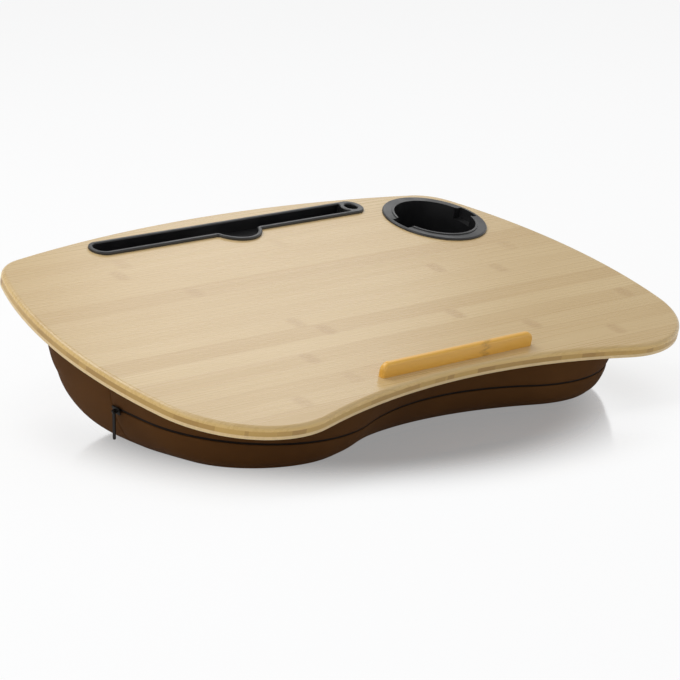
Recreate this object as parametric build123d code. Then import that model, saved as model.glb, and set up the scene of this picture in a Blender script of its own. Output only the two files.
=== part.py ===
from build123d import *

import os
from math import asin, atan, atan2, cos, degrees, hypot, radians, sin, tan

# A lap tray: a curved bamboo board with a pen and phone slot, a cup holder and a stop ledge,
# carried by a wedge-shaped cushion whose cover opens with a zip round its front.
# Millimetres. +X is the sitter's right, -Y is towards the sitter, +Z is up.
# The origin is on the floor, straight below the centre of the board.

# Board
board_width = 600.0
board_back_reach = 181.5
board_front_reach = 155.5
widest_station = 31.5
side_radius = 395.0
back_radius = 1160.0
hollow_radius = 640.0
back_corner_radius = 45.0
front_corner_radius = 90.0
top_ply_thick = 4.0
core_ply_thick = 4.0
bottom_ply_thick = 3.0
top_edge_round = 3.4
under_edge_round = 0.8
board_tilt = 14.6
board_height = 98.0

# Slot tray let into the board, with its finger bump and its pen well
tray_length = 318.0
tray_width = 24.6
tray_to_back_edge = 32.3
tray_rim_width = 3.7
tray_rim_height = 2.5
tray_rim_round = 1.1
tray_wall = 1.6
tray_floor = 1.5
tray_lift = 0.5
bump_radius = 28.0
bump_corner_round = 1.5
slot_corner_round = 0.8
pen_well_radius = 6.3
pen_ring_wall = 4.5
cutout_clearance = 0.3

# Cup holder
cup_bore_radius = 38.6
cup_wall = 1.8
cup_depth = 43.0
cup_floor = 2.0
cup_flange_radius = 49.5
cup_flange_thick = 2.0
cup_flange_round = 1.2
cup_lip_width = 2.2
cup_lip_height = 0.8
cup_lip_round = 0.5
cup_across = 210.4
cup_to_back_edge = 80.3
notch_width = 21.0
notch_reach = 46.3
notch_depth = 8.0

# Stop ledge and the two screws that hold it from below
ledge_length = 176.0
ledge_thick = 6.5
ledge_height = 12.5
ledge_end_round = 7.0
ledge_top_round = 2.4
ledge_from_edge = 10.5
ledge_screw_pitch = 120.0
ledge_screw_length = 20.0

# Countersunk wood screws
screw_shank_radius = 1.75
screw_head_radius = 3.6
screw_tip_length = 3.0
screw_sink = 0.2
recess_width = 0.9
recess_span = 3.8
recess_depth = 1.2
screw_clearance = 0.05

# Cushion, measured in the plane of the board's underside
cushion_width = 514.0
cushion_back_overhang = 25.5
cushion_front_reach = 130.0
cushion_widest_station = 40.0
cushion_side_radius = 900.0
cushion_back_radius = 1150.0
cushion_hollow_radius = 219.0
cushion_back_corner = 81.0
cushion_front_corner = 117.0
# How far the side, the back and the front hollow are drawn in where the cushion meets the floor
side_tuck = 36.5
back_tuck = 94.0
hollow_tuck = 28.0
# The front corners also turn tighter towards the floor
front_corner_tuck = 47.5
# Share of the local thickness at each section, and the share of the tuck left there
section_height_shares = (0.0, 0.06, 0.14, 0.25, 0.45, 0.70, 1.0)
section_tuck_shares = (1.0, 0.76, 0.53, 0.35, 0.16, 0.03, 0.0)
zip_section = 4

# Cover
cover_thick = 1.5
hem_width = 14.0
base_seam_height = 3.0
side_seam_station = 5.0

# Zip
zip_gap = 3.2
coil_height = 0.9
coil_split = 1.0
coil_recess = 0.3
tape_reach = 12.0
tape_thick = 0.5
tape_gap = 0.1
stop_length = 2.0
slider_length = 9.0
slider_height = 6.4
slider_plate = 1.0
slider_back_height = 5.4
slider_back_plate = 0.8
slider_standoff = 0.45
slider_back_gap = 0.3
slider_neck_length = 4.0
slider_neck_height = 0.5
slider_round = 0.9
slider_start_gap = 1.0

# Pull, hung on the slider's bar
bar_radius = 0.7
bar_clearance = 0.08
eye_radius = 1.6
eye_length = 2.6
eye_side_gap = 0.3
ear_thick = 0.9
eye_to_plate = 0.5
pull_length = 23.0
pull_width = 3.0
pull_thick = 1.1
pull_end_round = 1.2

# Backing panel, its screws and the staples that hold the hem to it
panel_thick = 3.0
panel_edge_clearance = 0.3
panel_screw_length = 11.0
panel_screw_across_shares = (0.30, 0.74)
panel_screw_front_share = 0.45
panel_screw_back_share = 0.70
panel_screw_mid_share = 0.20
staple_pitch = 46.0
staple_span = 10.0
staple_wire = 0.6
staple_leg = 4.0

# Pocket in the cushion for the cup holder, the filling and its liner
pocket_gap = 1.0
pocket_lining = 1.0
liner_thick = 0.5
liner_clearance = 0.3
liner_back_gap = 0.6

# Cuts run past what they cut by this much
overrun = 20.0

upward = (Align.CENTER, Align.CENTER, Align.MIN)
downward = (Align.CENTER, Align.CENTER, Align.MAX)

board_thick = top_ply_thick + core_ply_thick + bottom_ply_thick
board_place = Location((0, 0, board_height), (board_tilt, 0, 0))
tray_station = board_back_reach - tray_to_back_edge
cup_station = board_back_reach - cup_to_back_edge
ledge_station = ledge_from_edge - board_front_reach
cushion_back_reach = board_back_reach - cushion_back_overhang
big = board_width + overrun

# The board's underside runs down to the floor along this line, far in front of the cushion.
# The cushion's sections fan out from it, from the floor up to the board.
underside = board_place * Pos(0, 0, -board_thick)
fan_reach = underside.position.Z / sin(radians(board_tilt))
fan_station = underside.position.Y - fan_reach * cos(radians(board_tilt))


def fan_place(height_share):
    """The plane through the fan's line at this share of the wedge, its origin under the board's."""
    lean = degrees(atan(height_share * tan(radians(board_tilt))))
    return Pos(0, fan_station, 0) * Rot(lean, 0, 0) * Pos(0, fan_reach, 0)


def crossings(centre_a, reach_a, centre_b, reach_b):
    """The two points at reach_a from centre_a and at reach_b from centre_b."""
    gap = centre_b - centre_a
    along = (gap.length**2 + reach_a**2 - reach_b**2) / (2 * gap.length)
    aside = (reach_a**2 - along**2) ** 0.5
    ahead = gap.normalized()
    left = Vector(-ahead.Y, ahead.X)
    return centre_a + ahead * along + left * aside, centre_a + ahead * along - left * aside


def arc_between(centre, start, end):
    """The short arc about centre from start to end."""
    middle = centre + ((start - centre) + (end - centre)).normalized() * (start - centre).length
    return ThreePointArc(start, middle, end)


def mirrored(point):
    return Vector(-point.X, point.Y)


def kidney(half_width, station, side_r, back, back_r, front, hollow_r, back_corner, front_corner):
    """A face with a bowed back and sides, a hollow front and four round corners, all tangent."""
    back_centre = Vector(0, back - back_r)
    side_centre = Vector(half_width - side_r, station)
    hollow_centre = Vector(0, -front - hollow_r)
    back_fillet = max(crossings(back_centre, back_r - back_corner, side_centre, side_r - back_corner),
                      key=lambda point: point.Y)
    front_fillet = max(crossings(hollow_centre, hollow_r + front_corner, side_centre, side_r - front_corner),
                       key=lambda point: point.X)
    on_back = back_centre + (back_fillet - back_centre).normalized() * back_r
    on_side_back = side_centre + (back_fillet - side_centre).normalized() * side_r
    on_side_front = side_centre + (front_fillet - side_centre).normalized() * side_r
    on_hollow = hollow_centre + (front_fillet - hollow_centre).normalized() * hollow_r
    right = ((back_fillet, on_back, on_side_back),
             (side_centre, on_side_back, on_side_front),
             (front_fillet, on_side_front, on_hollow))
    edges = [arc_between(back_centre, mirrored(on_back), on_back)]
    edges += [arc_between(*arc) for arc in right]
    edges += [arc_between(hollow_centre, on_hollow, mirrored(on_hollow))]
    edges += [arc_between(mirrored(centre), mirrored(end), mirrored(start))
              for centre, start, end in reversed(right)]
    return make_face(edges)


def board_outline():
    return kidney(board_width / 2, -widest_station, side_radius, board_back_reach, back_radius,
                  board_front_reach, hollow_radius, back_corner_radius, front_corner_radius)


def cushion_outline(tuck_share, inset):
    """One section of the cushion, drawn in by its share of the tucks and by an even inset."""
    side_in = side_tuck * tuck_share + inset
    back_in = back_tuck * tuck_share + inset
    hollow_in = hollow_tuck * tuck_share + inset
    return kidney(cushion_width / 2 - side_in, -cushion_widest_station, cushion_side_radius - side_in,
                  cushion_back_reach - back_in, cushion_back_radius - back_in,
                  cushion_front_reach - hollow_in, cushion_hollow_radius + hollow_in,
                  cushion_back_corner - inset,
                  cushion_front_corner - front_corner_tuck * tuck_share - inset)


def cushion_form(inset, lift=0.0):
    """The cushion's body, smaller by inset all round and lifted off the floor, cut at the board."""
    sections = [fan_place(height) * cushion_outline(tuck, inset)
                for height, tuck in zip(section_height_shares, section_tuck_shares)]
    form = Pos(0, 0, lift) * loft(sections)
    return form & below_board(0.0) if lift else form


def below_board(gap):
    """All that lies at least gap below the board's underside."""
    return board_place * Pos(0, 0, -board_thick - gap) * Box(big, big, big, align=downward)


def board_slab(gap, thick):
    """A layer of this thickness that starts gap below the board's underside."""
    return board_place * Pos(0, 0, -board_thick - gap) * Box(big, big, thick, align=downward)


def above_floor(height):
    return Pos(0, 0, height) * Box(big, big, big, align=upward)


def ahead_of(station):
    """All that lies on the sitter's side of this station."""
    return Pos(0, station, 0) * Box(big, big, big, align=(Align.CENTER, Align.MAX, Align.CENTER))


def behind(station):
    return Pos(0, station, 0) * Box(big, big, big, align=(Align.CENTER, Align.MIN, Align.CENTER))


def right_of(across):
    return Pos(across, 0, 0) * Box(big, big, big, align=(Align.MIN, Align.CENTER, Align.CENTER))


zip_place = fan_place(section_height_shares[zip_section])


def zip_layer(low, high):
    """The layer between two heights above the zip's own plane."""
    return zip_place * Pos(0, 0, low) * Box(big, big, high - low, align=upward)


def tray_plan(inset):
    """The tray's plan with its bump on the sitter's side, drawn in from the rim's outer edge."""
    run = SlotOverall(tray_length - 2 * inset, tray_width - 2 * inset)
    reach = bump_radius - inset
    bump = Circle(reach) & Rectangle(2 * reach, reach, align=(Align.CENTER, Align.MAX))
    plan = run + bump
    corners = [corner for corner in plan.vertices() if abs(corner.X) < bump_radius and corner.Y < 0]
    return Pos(0, tray_station) * fillet(corners, bump_corner_round + inset)


pen_well_across = (tray_length - tray_width) / 2
pen_ring_radius = pen_well_radius + pen_ring_wall


def pen_circle(radius):
    return Pos(pen_well_across, tray_station) * Circle(radius)


def slot_plan():
    """The open slot, which ends in the curve of the ring round the pen well."""
    slot = tray_plan(tray_rim_width) - pen_circle(pen_ring_radius)
    corners = [corner for corner in slot.vertices() if corner.X > pen_well_across - pen_ring_radius]
    return fillet(corners, slot_corner_round)


def make_slot_tray():
    """The tray with the slot, and the pen cup that closes its right end."""
    openings = slot_plan() + pen_circle(pen_well_radius)
    rim = extrude(tray_plan(0.0) - openings, tray_rim_height)
    rim = fillet(rim.edges().group_by(Axis.Z)[-1], tray_rim_round)
    depth = board_thick - tray_lift
    body = extrude(tray_plan(tray_rim_width - tray_wall), -depth)
    body -= extrude(openings, -(depth - tray_floor))
    whole = rim + body
    pen_end = right_of(pen_well_across - pen_ring_radius)
    return whole - pen_end, whole & pen_end


def tray_cutout():
    plan = tray_plan(tray_rim_width - tray_wall - cutout_clearance)
    return Pos(0, 0, -board_thick - overrun) * extrude(plan, board_thick + 2 * overrun)


cup_centre = Pos(cup_across, cup_station)


def cup_plan(grow):
    """The bore with its two finger notches, larger all round by grow."""
    reach = notch_reach + grow
    notches = Rectangle(2 * reach, notch_width + 2 * grow) & Circle(reach)
    return Circle(cup_bore_radius + grow) + notches


def make_cup_holder():
    flange = extrude(Circle(cup_flange_radius), cup_flange_thick)
    flange = fillet(flange.edges().group_by(Axis.Z)[-1], cup_flange_round)
    lip_top = cup_flange_thick + cup_lip_height
    lip = extrude(Circle(cup_bore_radius + cup_lip_width), lip_top)
    lip = fillet(lip.edges().group_by(Axis.Z)[-1], cup_lip_round)
    body = flange + lip
    body += extrude(cup_plan(cup_wall), -(notch_depth + cup_floor))
    body += extrude(Circle(cup_bore_radius + cup_wall), -(cup_depth + cup_floor))
    body -= Pos(0, 0, -notch_depth) * extrude(cup_plan(0.0), notch_depth + lip_top)
    body -= Pos(0, 0, -cup_depth) * extrude(Circle(cup_bore_radius), cup_depth)
    return cup_centre * body


def cup_cutout():
    hole = cup_centre * cup_plan(cup_wall + cutout_clearance)
    return Pos(0, 0, -board_thick - overrun) * extrude(hole, board_thick + 2 * overrun)


def wood_screw(length, grow):
    """A countersunk screw that points up from its head at the origin, larger by grow."""
    head_height = screw_head_radius - screw_shank_radius
    shank = screw_shank_radius + grow
    straight = length - head_height - screw_tip_length
    screw = Cone(screw_head_radius + grow, shank, head_height, align=upward)
    screw += Pos(0, 0, head_height) * Cylinder(shank, straight + grow, align=upward)
    screw += Pos(0, 0, head_height + straight + grow) * Cone(shank, 0, screw_tip_length + grow, align=upward)
    return screw


def driven_screw(length):
    """A wood screw with its cross recess."""
    slit = Box(recess_width, recess_span, 2 * recess_depth)
    return wood_screw(length, 0.0) - slit - Rot(0, 0, 90) * slit


def screw_hole(length):
    """What the screw takes out of the wood, open below the head."""
    mouth = Cylinder(screw_head_radius + screw_clearance, overrun, align=downward)
    return wood_screw(length, screw_clearance) + mouth


ledge_middle = ledge_station + ledge_thick / 2
ledge_screw_places = [Pos(side * ledge_screw_pitch / 2, ledge_middle, screw_sink - board_thick)
                      for side in (-1, 1)]
panel_gap = cover_thick
panel_screw_depth = -board_thick - panel_gap - panel_thick + screw_sink
near_share, far_share = panel_screw_across_shares
half_cushion = cushion_width / 2
panel_screw_spots = [(side * near_share * half_cushion, -panel_screw_back_share * cushion_front_reach)
                     for side in (-1, 1)]
panel_screw_spots += [(side * far_share * half_cushion, -panel_screw_front_share * cushion_front_reach)
                      for side in (-1, 1)]
panel_screw_spots += [(side * far_share * half_cushion, panel_screw_mid_share * cushion_back_reach)
                      for side in (-1, 1)]
panel_screw_spots += [(side * near_share * half_cushion, panel_screw_back_share * cushion_back_reach)
                      for side in (-1, 1)]
panel_screw_places = [Pos(across, station, panel_screw_depth) for across, station in panel_screw_spots]


def make_plies():
    """The three bonded layers of the board, the top one down, with all their holes."""
    outline = board_outline()
    holes = [tray_cutout(), cup_cutout()]
    holes += [place * screw_hole(ledge_screw_length) for place in ledge_screw_places]
    holes += [place * screw_hole(panel_screw_length) for place in panel_screw_places]
    top = Pos(0, 0, -top_ply_thick) * extrude(outline, top_ply_thick)
    top = fillet(top.edges().group_by(Axis.Z)[-1], top_edge_round)
    core = Pos(0, 0, -top_ply_thick - core_ply_thick) * extrude(outline, core_ply_thick)
    bottom = Pos(0, 0, -board_thick) * extrude(outline, bottom_ply_thick)
    bottom = fillet(bottom.edges().group_by(Axis.Z)[0], under_edge_round)
    return [ply - holes for ply in (top, core, bottom)]


def make_stop_ledge():
    face = Rectangle(ledge_length, ledge_height, align=(Align.CENTER, Align.MIN))
    face = fillet(face.vertices().group_by(Axis.Y)[-1], ledge_end_round)
    ledge = extrude(Plane.XZ * face, -ledge_thick)
    sides = ledge.faces().filter_by(Axis.Y)
    upper = [edge for side in sides for edge in side.edges()
             if edge.center().Z > ledge_height - ledge_end_round]
    ledge = fillet(upper, ledge_top_round)
    ledge = Pos(0, ledge_station, 0) * ledge
    return ledge - [place * screw_hole(ledge_screw_length) for place in ledge_screw_places]


pocket_inner = cup_bore_radius + cup_wall + pocket_gap
pocket_outer = pocket_inner + pocket_lining
pocket_depth = cup_depth + cup_floor + pocket_gap


def well_room(radius, depth):
    """A round room along the cup holder's axis, from the board's underside down to this depth."""
    top = -board_thick + overrun
    return board_place * cup_centre * Pos(0, 0, top) * Cylinder(radius, top + depth, align=downward)


def make_pocket(body):
    """The fabric lining of the pocket, as far as it lies inside the cushion."""
    room = body & well_room(pocket_outer, pocket_depth + pocket_lining)
    return room - well_room(pocket_inner, pocket_depth)


def make_cover(body):
    """The four fabric panels: upper and lower front bands, back band and base."""
    shell = body - cushion_form(cover_thick, cover_thick)
    hem = cushion_form(cover_thick, cover_thick) - cushion_form(hem_width, cover_thick)
    hem &= board_slab(0.0, cover_thick)
    base = shell - above_floor(base_seam_height)
    wall = (shell & above_floor(base_seam_height)) + hem
    wall -= well_room(pocket_outer, pocket_depth + pocket_lining)
    front = wall & ahead_of(side_seam_station)
    upper = front & zip_layer(zip_gap / 2, big)
    lower = front & zip_layer(-big, -zip_gap / 2)
    back = wall & behind(side_seam_station)
    return upper, lower, back, base


tape_depth = cover_thick + tape_gap + tape_thick
coil_end_station = side_seam_station - stop_length


def make_zip_bands():
    """The two tapes, the two coils on them and the end stops."""
    behind_cover = cover_thick + tape_gap
    tape = cushion_form(behind_cover, behind_cover) - cushion_form(tape_depth, tape_depth)
    tape &= ahead_of(side_seam_station)
    teeth = cushion_form(coil_recess) - cushion_form(cover_thick, cover_thick)
    coil = teeth & ahead_of(coil_end_station)
    stops = teeth & ahead_of(side_seam_station) & behind(coil_end_station)
    split = coil_split / 2
    tapes = [tape & zip_layer(split, tape_reach), tape & zip_layer(-tape_reach, -split)]
    coils = [coil & zip_layer(split, split + coil_height), coil & zip_layer(-split - coil_height, -split)]
    return tapes, coils, stops & zip_layer(-split - coil_height, split + coil_height)


# The slider runs on the left side, where the zip is an arc about this centre in the zip's plane
zip_tuck = side_tuck * section_tuck_shares[zip_section]
side_centre_across = cushion_side_radius - cushion_width / 2
side_run_radius = cushion_side_radius - zip_tuck
zip_end_station = (coil_end_station - fan_station) / cos(radians(zip_place.orientation.X)) - fan_reach
slider_station = zip_end_station - slider_start_gap - slider_length / 2
slider_turn = degrees(asin((slider_station + cushion_widest_station) / side_run_radius))
run_centre = zip_place * Pos(side_centre_across, -cushion_widest_station, 0)
slider_place = run_centre * Rot(0, 0, 180 - slider_turn) * Pos(side_run_radius, 0, 0)

# The wall leans out as it rises past the zip
share_step = section_tuck_shares[zip_section - 1] - section_tuck_shares[zip_section + 1]
height_step = section_height_shares[zip_section + 1] - section_height_shares[zip_section - 1]
wall_rise = height_step * tan(radians(board_tilt)) * (slider_station + fan_reach)
wall_lean = degrees(atan(share_step * side_tuck / wall_rise))


def depth_at_zip(layers):
    """How deep, square to the leaning wall, a layer lies whose form is inset and lifted this much."""
    return layers * (cos(radians(wall_lean)) + sin(radians(wall_lean)))


eye_out = slider_standoff + slider_plate + eye_to_plate + eye_radius
eye_place = slider_place * Rot(0, wall_lean, 0) * Pos(eye_out, 0, 0) * Rot(0, -wall_lean, 0)


def make_slider():
    """Two plates joined by a neck between the coils, with two ears and a bar for the pull."""
    plate = Pos(slider_standoff, 0, 0) * Box(slider_plate, slider_length, slider_height,
                                             align=(Align.MIN, Align.CENTER, Align.CENTER))
    plate = fillet(plate.edges().filter_by(Axis.X), slider_round)
    back_face = depth_at_zip(tape_depth) + slider_back_gap
    back = Pos(-back_face, 0, 0) * Box(slider_back_plate, slider_length, slider_back_height,
                                       align=(Align.MAX, Align.CENTER, Align.CENTER))
    ear_out = eye_out + bar_radius - slider_standoff
    ear_offset = eye_length / 2 + eye_side_gap
    ears = [Pos(slider_standoff, side * (ear_offset + ear_thick / 2), 0)
            * Box(ear_out, ear_thick, 2 * bar_radius, align=(Align.MIN, Align.CENTER, Align.CENTER))
            for side in (-1, 1)]
    bar = Pos(eye_out, 0, 0) * Rot(90, 0, 0) * Cylinder(bar_radius, 2 * (ear_offset + ear_thick))
    leaning = Rot(0, wall_lean, 0) * (plate + back + ears + bar)
    neck_back = back_face + slider_back_plate / 2
    neck = Pos(-neck_back, 0, 0) * Box(neck_back + slider_standoff + slider_plate / 2, slider_neck_length,
                                       slider_neck_height, align=(Align.MIN, Align.CENTER, Align.CENTER))
    return slider_place * (leaning + neck)


def make_pull():
    """A slim tab that hangs plumb from its eye."""
    eye = Rot(90, 0, 0) * Cylinder(eye_radius, eye_length)
    blade = Box(pull_thick, pull_width, pull_length, align=downward)
    low_corners = blade.edges().filter_by(Axis.X).group_by(Axis.Z)[0]
    blade = Rot(zip_place.orientation.X, 0, 0) * fillet(low_corners, pull_end_round)
    bore = Rot(90, 0, 0) * Cylinder(bar_radius + bar_clearance, 2 * eye_length)
    return eye_place * (eye + blade - bore)


def make_backing_panel():
    body = cushion_form(cover_thick + panel_edge_clearance, cover_thick)
    panel = body & board_slab(panel_gap, panel_thick)
    panel -= well_room(pocket_outer + panel_edge_clearance, pocket_depth)
    return panel - [board_place * place * screw_hole(panel_screw_length) for place in panel_screw_places]


def make_staples():
    """Wire staples along the middle of the hem, sunk flush, none across the pocket."""
    ring = cushion_outline(0.0, (hem_width + cover_thick) / 2).faces()[0].outer_wire()
    count = int(ring.length // staple_pitch)
    clear = pocket_outer + staple_span
    leg = Box(staple_wire, staple_wire, staple_leg, align=downward)
    crown = Box(staple_span, staple_wire, staple_wire, align=downward)
    reach = (staple_span - staple_wire) / 2
    staple = crown + Pos(reach, 0, 0) * leg + Pos(-reach, 0, 0) * leg
    staples = []
    for index in range(count):
        spot = ring.position_at(index / count)
        along = ring.tangent_at(index / count)
        if hypot(spot.X - cup_across, spot.Y - cup_station) > clear:
            turn = degrees(atan2(along.Y, along.X))
            staples.append(underside * Pos(spot.X, spot.Y, -screw_clearance) * Rot(0, 0, turn) * staple)
    return staples


def make_filling():
    """The bead filling and the closed liner round it."""
    side_gap = tape_depth + slider_back_gap + slider_back_plate + liner_back_gap
    floor_gap = cover_thick + liner_clearance
    top_gap = panel_gap + panel_thick + liner_clearance
    well_gap = pocket_outer + liner_clearance
    well_bottom = pocket_depth + pocket_lining + liner_clearance
    bag = cushion_form(side_gap, floor_gap) & below_board(top_gap)
    bag -= well_room(well_gap, well_bottom)
    fill = cushion_form(side_gap + liner_thick, floor_gap + liner_thick) & below_board(top_gap + liner_thick)
    fill -= well_room(well_gap + liner_thick, well_bottom + liner_thick)
    return bag - fill, fill


def write(name, *pieces):
    """One file for each node, holding all its solids."""
    solids = [solid for piece in pieces for solid in piece.solids()]
    export_step(Compound(children=solids), f"parts/{name}.step")
    print(name, len(solids))


os.makedirs("parts", exist_ok=True)

for name, ply in zip(("top_ply", "core_ply", "bottom_ply"), make_plies()):
    write(name, board_place * ply)
slot_tray, pen_cup = make_slot_tray()
write("slot_tray", board_place * slot_tray)
write("pen_cup", board_place * pen_cup)
write("cup_holder", board_place * make_cup_holder())
write("stop_ledge", board_place * make_stop_ledge())
ledge_screw = driven_screw(ledge_screw_length)
write("ledge_screws", *[board_place * place * ledge_screw for place in ledge_screw_places])

cushion = cushion_form(0.0)
upper_band, lower_band, back_band, base_panel = make_cover(cushion)
write("cover_upper_band", upper_band)
write("cover_lower_band", lower_band)
write("cover_back_band", back_band)
write("cover_base_panel", base_panel)
write("cup_pocket", make_pocket(cushion))

tapes, coils, stops = make_zip_bands()
write("zip_tape_upper", tapes[0])
write("zip_tape_lower", tapes[1])
write("zip_coil_upper", coils[0])
write("zip_coil_lower", coils[1])
write("zip_stops", stops)
write("zip_slider", make_slider())
write("zip_pull", make_pull())

write("backing_panel", make_backing_panel())
panel_screw = driven_screw(panel_screw_length)
write("panel_screws", *[board_place * place * panel_screw for place in panel_screw_places])
write("hem_staples", *make_staples())
liner, filling = make_filling()
write("filling_liner", liner)
write("bead_filling", filling)
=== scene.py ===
"""A lap tray: a bamboo board with slot tray, cup holder and stop ledge on a zipped bead cushion."""

import math

import bmesh
import bpy
import numpy as np
from bpy.props import FloatProperty, FloatVectorProperty, PointerProperty
from mathutils import Matrix, Vector


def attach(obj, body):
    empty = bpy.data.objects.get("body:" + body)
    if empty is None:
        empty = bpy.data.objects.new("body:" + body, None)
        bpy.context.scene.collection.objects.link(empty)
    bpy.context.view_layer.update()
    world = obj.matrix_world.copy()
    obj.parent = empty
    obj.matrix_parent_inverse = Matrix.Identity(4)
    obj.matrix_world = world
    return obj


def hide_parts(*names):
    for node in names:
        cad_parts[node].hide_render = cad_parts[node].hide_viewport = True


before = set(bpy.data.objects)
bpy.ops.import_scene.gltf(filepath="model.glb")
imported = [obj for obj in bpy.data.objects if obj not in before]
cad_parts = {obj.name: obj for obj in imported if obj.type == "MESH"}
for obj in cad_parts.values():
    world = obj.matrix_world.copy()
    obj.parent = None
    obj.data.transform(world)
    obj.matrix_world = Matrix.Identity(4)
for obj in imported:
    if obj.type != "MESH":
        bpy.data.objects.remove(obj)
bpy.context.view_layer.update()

bl_info = {
    "name": "Lap Tray",
    "version": (1, 0, 0),
    "blender": (4, 5, 0),
    "location": "3D View > Sidebar > Lap Tray",
    "description": "Finishes, cushion, zip, stage and camera of a bamboo lap tray",
    "category": "Object",
}

MM = 0.001
TRAY = "tray"


def length(name, description, millimetres):
    """A length property whose default is given in millimetres."""
    return FloatProperty(name=name, description=description, default=millimetres * MM,
                         subtype="DISTANCE", unit="LENGTH")


def angle(name, description, degrees):
    return FloatProperty(name=name, description=description, default=math.radians(degrees),
                         subtype="ANGLE", unit="ROTATION")


def spot(name, description, place):
    """A place property, in metres."""
    return FloatVectorProperty(name=name, description=description, default=place, size=3,
                               subtype="TRANSLATION", unit="LENGTH")


def power(name, description, watts):
    return FloatProperty(name=name, description=description, default=watts, unit="POWER")


def share(name, description, value):
    return FloatProperty(name=name, description=description, default=value, min=0.0, max=1.0,
                         subtype="FACTOR")


def colour(name, description, value):
    return FloatVectorProperty(name=name, description=description, default=value, size=3,
                               min=0.0, max=1.0, subtype="COLOR")


class CameraSettings(bpy.types.PropertyGroup):
    place: spot("Place", "Where the camera stands", (-1.6295, -1.7244, 0.5897))
    turn: angle("Turn", "How far the view is turned to the right of the board's depth", 43.52)
    dip: angle("Dip", "How far the view looks down", 12.59)
    lens: FloatProperty(name="Lens", description="Focal length in millimetres", default=149.47)
    sensor: FloatProperty(name="Sensor", description="Width of the sensor in millimetres", default=36.0)
    shift_across: FloatProperty(name="Shift across", description="Shift as a share of the width",
                                default=-0.0135)
    shift_up: FloatProperty(name="Shift up", description="Shift as a share of the width",
                            default=-0.0047)


class StageSettings(bpy.types.PropertyGroup):
    floor_size: length("Floor size", "Side of the square floor", 12000.0)
    floor_colour: colour("Floor colour", "Colour of the pale floor", (0.86, 0.86, 0.87))
    aim: spot("Aim", "What the lamps point at", (0.0, 0.0, 0.08))
    key_place: spot("Key place", "Where the soft lamp over the board hangs", (-0.5, 0.9, 2.2))
    key_size: length("Key size", "Side of the large soft lamp over the board", 1600.0)
    key_power: power("Key power", "Power of the soft lamp over the board", 26.0)
    side_place: spot("Side place", "Where the soft lamp at the left hangs", (-2.2, -0.6, 1.3))
    side_size: length("Side size", "Side of the soft lamp at the left", 1200.0)
    side_power: power("Side power", "Power of the soft lamp at the left", 10.0)
    sheen_place: spot("Sheen place", "Where the lamp hangs that the lacquer mirrors", (1.78, 1.58, 1.74))
    sheen_size: length("Sheen size", "Side of the lamp that the lacquer mirrors", 700.0)
    sheen_power: power("Sheen power", "Power of the lamp that the lacquer mirrors", 3.2)
    mirror_share: share("Mirror share", "How much of the floor near the tray mirrors it", 0.95)
    mirror_reach: length("Mirror reach", "How far from the middle the floor mirrors the tray fully", 180.0)
    mirror_end: length("Mirror end", "How far from the middle the floor stops mirroring", 315.0)
    mirror_rough: share("Mirror roughness", "How much the floor blurs what it mirrors", 0.12)
    far_white: share("Far white", "How much of the seen floor is plain white far from the tray", 0.85)
    near_white: share("Near white", "How much of the seen floor is plain white near the tray", 0.28)
    sky: FloatProperty(name="Sky", description="Strength of the even light from all round", default=0.55)
    sky_colour: colour("Sky colour", "Colour of the even light", (0.98, 0.99, 1.0))
    ceiling: share("Ceiling", "Brightness of what is high overhead, as gloss shows it", 0.4)
    ceiling_start: share("Ceiling start", "Sine of the height where the ceiling starts to darken", 0.25)
    ceiling_end: share("Ceiling end", "Sine of the height where it is darkest", 0.5)


class BoardSettings(bpy.types.PropertyGroup):
    tilt: angle("Tilt", "How far the board leans towards the sitter", 14.6)
    height: length("Height", "Height of the middle of the board's top over the floor", 98.0)
    thickness: length("Thickness", "All three plies together", 11.0)
    strip_width: length("Strip width", "Width of one bamboo strip of the face", 20.0)
    strip_edge: length("Strip edge", "Where one joint between two strips lies", -2.0)
    pale: colour("Pale bamboo", "Lightest strips", (0.65, 0.48, 0.245))
    deep: colour("Deep bamboo", "Darkest strips", (0.535, 0.36, 0.155))
    # painted shade: the top ply's rounded edge is tinted a deeper golden, as it looks where it faces
    # sideways and mirrors none of the light
    edge_shade_colour: colour("Edge", "Golden tone of the rounded edge", (0.68, 0.45, 0.14))
    edge_start: length("Edge start", "How far under the top the golden edge starts", 0.2)
    edge_full: length("Edge full", "How far under the top it is at its strongest", 2.6)
    node_across: length("Node across", "Half of a growth ring's width along the strip", 9.0)
    node_deep: length("Node depth", "Half of a growth ring's width across the strip", 11.0)
    node_colour: colour("Nodes", "Darker growth rings of the bamboo", (0.42, 0.25, 0.10))
    end_grain: colour("End grain", "Darkest ends of the cross strips at the edge", (0.33, 0.18, 0.042))
    end_pale: colour("Pale end grain", "Lightest ends of the cross strips", (0.56, 0.355, 0.10))
    ledge_colour: colour("Ledge", "Golden bamboo of the stop ledge", (0.70, 0.38, 0.06))
    ledge_ring_colour: colour("Ledge ring", "Growth ring of the stop ledge", (0.27, 0.13, 0.03))
    ledge_node: length("Ledge node", "Place of the ledge's growth ring, right of its middle", 30.0)


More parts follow.
